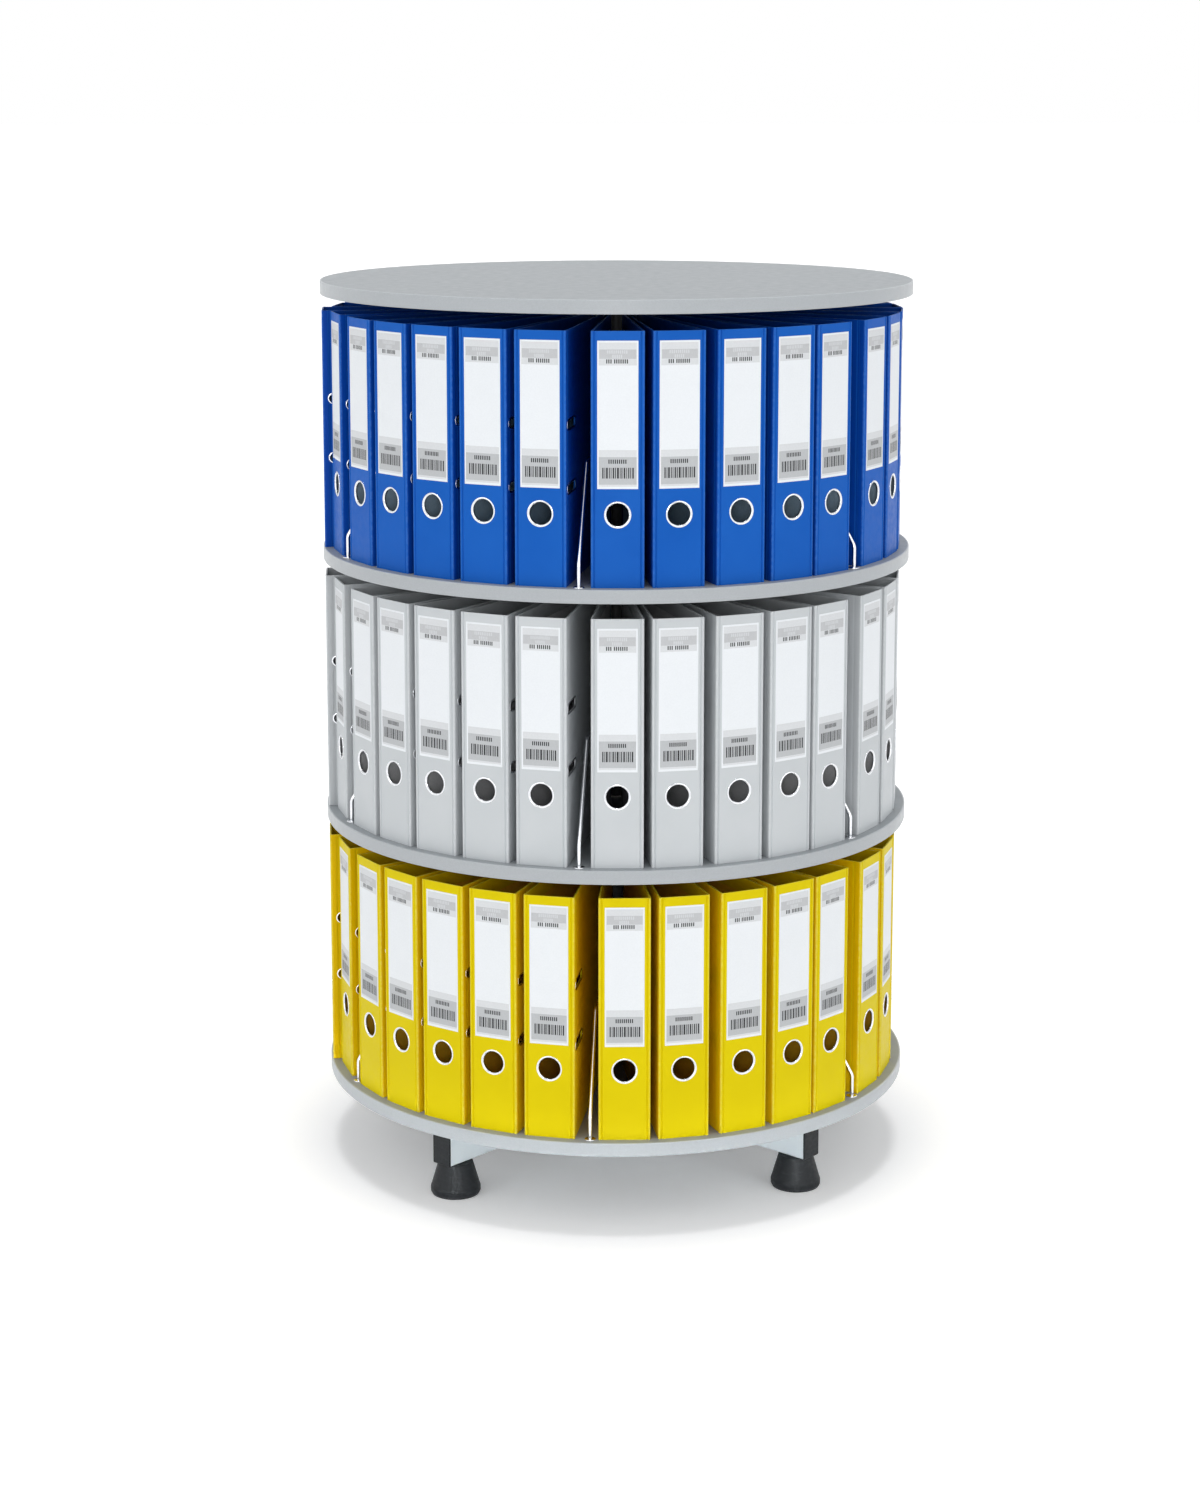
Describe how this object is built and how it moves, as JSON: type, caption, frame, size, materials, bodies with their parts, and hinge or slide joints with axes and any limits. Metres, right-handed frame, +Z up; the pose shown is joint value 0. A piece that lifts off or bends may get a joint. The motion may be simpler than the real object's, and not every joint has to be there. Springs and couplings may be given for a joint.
{
  "type": "rotary filing cabinet",
  "caption": "Round filing carousel: shelves that turn one by one on a fixed column hold lever arch files in bays between wire dividers, on a cross foot with levelling feet.",
  "frame": {"origin": "on the floor under the column's axis", "axes": "+Z up along the column; -Y is the front; the arms of the foot lie on the diagonals"},
  "size_m": [0.8, 0.8, 1.2035],
  "materials": {
    "board_laminate": "satin grey melamine",
    "edge_band": "satin",
    "painted_steel": "satin powder coat",
    "dark_plastic": "fine grained",
    "column_steel": "satin black",
    "zinc_steel": "zinc plated",
    "bearing_steel": "ground",
    "bush_plastic": "natural acetal",
    "chrome": "polished",
    "file_blue": "foil-covered board, blue",
    "file_grey": "foil-covered board, light grey",
    "file_yellow": "foil-covered board, yellow",
    "label_card": "white card"
  },
  "bodies": {
    "base": {"arm_end_caps": "dark_plastic", "base_arms": "painted_steel", "base_socket": "painted_steel", "bearing_lower_races": "bearing_steel", "collar_screws": "zinc_steel", "column": "column_steel", "column_bolt": "zinc_steel", "foot_inserts": "zinc_steel", "shaft_collars": "zinc_steel", "top_board": "board_laminate", "top_edge_band": "edge_band", "top_flange": "zinc_steel", "top_flange_screws": "zinc_steel"},
    "lower_tier": {"lower_divider_ferrules": "chrome", "lower_dividers": "chrome", "lower_file_covers": "file_yellow", "lower_file_finger_rings": "chrome", "lower_file_labels": "label_card", "lower_file_spines": "file_yellow", "lower_hub": "zinc_steel", "lower_hub_bush": "bush_plastic", "lower_hub_screws": "zinc_steel", "lower_shelf": "board_laminate", "lower_shelf_edge_band": "edge_band"},
    "lower_bearing": {"lower_bearing_cage": "bearing_steel"},
    "middle_tier": {"middle_divider_ferrules": "chrome", "middle_dividers": "chrome", "middle_file_covers": "file_grey", "middle_file_finger_rings": "chrome", "middle_file_labels": "label_card", "middle_file_spines": "file_grey", "middle_hub": "zinc_steel", "middle_hub_bush": "bush_plastic", "middle_hub_screws": "zinc_steel", "middle_shelf": "board_laminate", "middle_shelf_edge_band": "edge_band"},
    "middle_bearing": {"middle_bearing_cage": "bearing_steel"},
    "upper_tier": {"upper_divider_ferrules": "chrome", "upper_dividers": "chrome", "upper_file_covers": "file_blue", "upper_file_finger_rings": "chrome", "upper_file_labels": "label_card", "upper_file_spines": "file_blue", "upper_hub": "zinc_steel", "upper_hub_bush": "bush_plastic", "upper_hub_screws": "zinc_steel", "upper_shelf": "board_laminate", "upper_shelf_edge_band": "edge_band"},
    "upper_bearing": {"upper_bearing_cage": "bearing_steel"},
    "front_left_foot": {"front_left_foot_glide": "dark_plastic", "front_left_foot_stud": "zinc_steel"},
    "front_right_foot": {"front_right_foot_glide": "dark_plastic", "front_right_foot_stud": "zinc_steel"},
    "rear_left_foot": {"rear_left_foot_glide": "dark_plastic", "rear_left_foot_stud": "zinc_steel"},
    "rear_right_foot": {"rear_right_foot_glide": "dark_plastic", "rear_right_foot_stud": "zinc_steel"},
    "front_file": {"front_file_boards": "file_blue", "front_file_finger_ring": "chrome", "front_file_label": "label_card"}
  },
  "joints": [
    {"name": "lower_tier_turn", "type": "hinge", "parent": "base", "child": "lower_tier", "pos_m": [0, 0, 0.1085], "axis": [0, 0, 1], "continuous": true},
    {"name": "lower_bearing_roll", "type": "hinge", "parent": "base", "child": "lower_bearing", "pos_m": [0, 0, 0.0996], "axis": [0, 0, 1], "continuous": true},
    {"name": "middle_tier_turn", "type": "hinge", "parent": "base", "child": "middle_tier", "pos_m": [0, 0, 0.4675], "axis": [0, 0, 1], "continuous": true},
    {"name": "middle_bearing_roll", "type": "hinge", "parent": "base", "child": "middle_bearing", "pos_m": [0, 0, 0.4586], "axis": [0, 0, 1], "continuous": true},
    {"name": "upper_tier_turn", "type": "hinge", "parent": "base", "child": "upper_tier", "pos_m": [0, 0, 0.8265], "axis": [0, 0, 1], "continuous": true},
    {"name": "upper_bearing_roll", "type": "hinge", "parent": "base", "child": "upper_bearing", "pos_m": [0, 0, 0.8176], "axis": [0, 0, 1], "continuous": true},
    {"name": "front_left_foot_screw", "type": "slide", "parent": "base", "child": "front_left_foot", "axis": [0, 0, -1], "range_m": [0, 0.01]},
    {"name": "front_right_foot_screw", "type": "slide", "parent": "base", "child": "front_right_foot", "axis": [0, 0, -1], "range_m": [0, 0.01]},
    {"name": "rear_left_foot_screw", "type": "slide", "parent": "base", "child": "rear_left_foot", "axis": [0, 0, -1], "range_m": [0, 0.01]},
    {"name": "rear_right_foot_screw", "type": "slide", "parent": "base", "child": "rear_right_foot", "axis": [0, 0, -1], "range_m": [0, 0.01]},
    {"name": "front_file_pull", "type": "slide", "parent": "upper_tier", "child": "front_file", "axis": [-0.0575, -0.9983, 0], "range_m": [0, 0.28]}
  ],
  "couplings": [
    {"joint": "lower_bearing_roll", "follows": "lower_tier_turn", "ratio": 0.5},
    {"joint": "middle_bearing_roll", "follows": "middle_tier_turn", "ratio": 0.5},
    {"joint": "upper_bearing_roll", "follows": "upper_tier_turn", "ratio": 0.5}
  ]
}
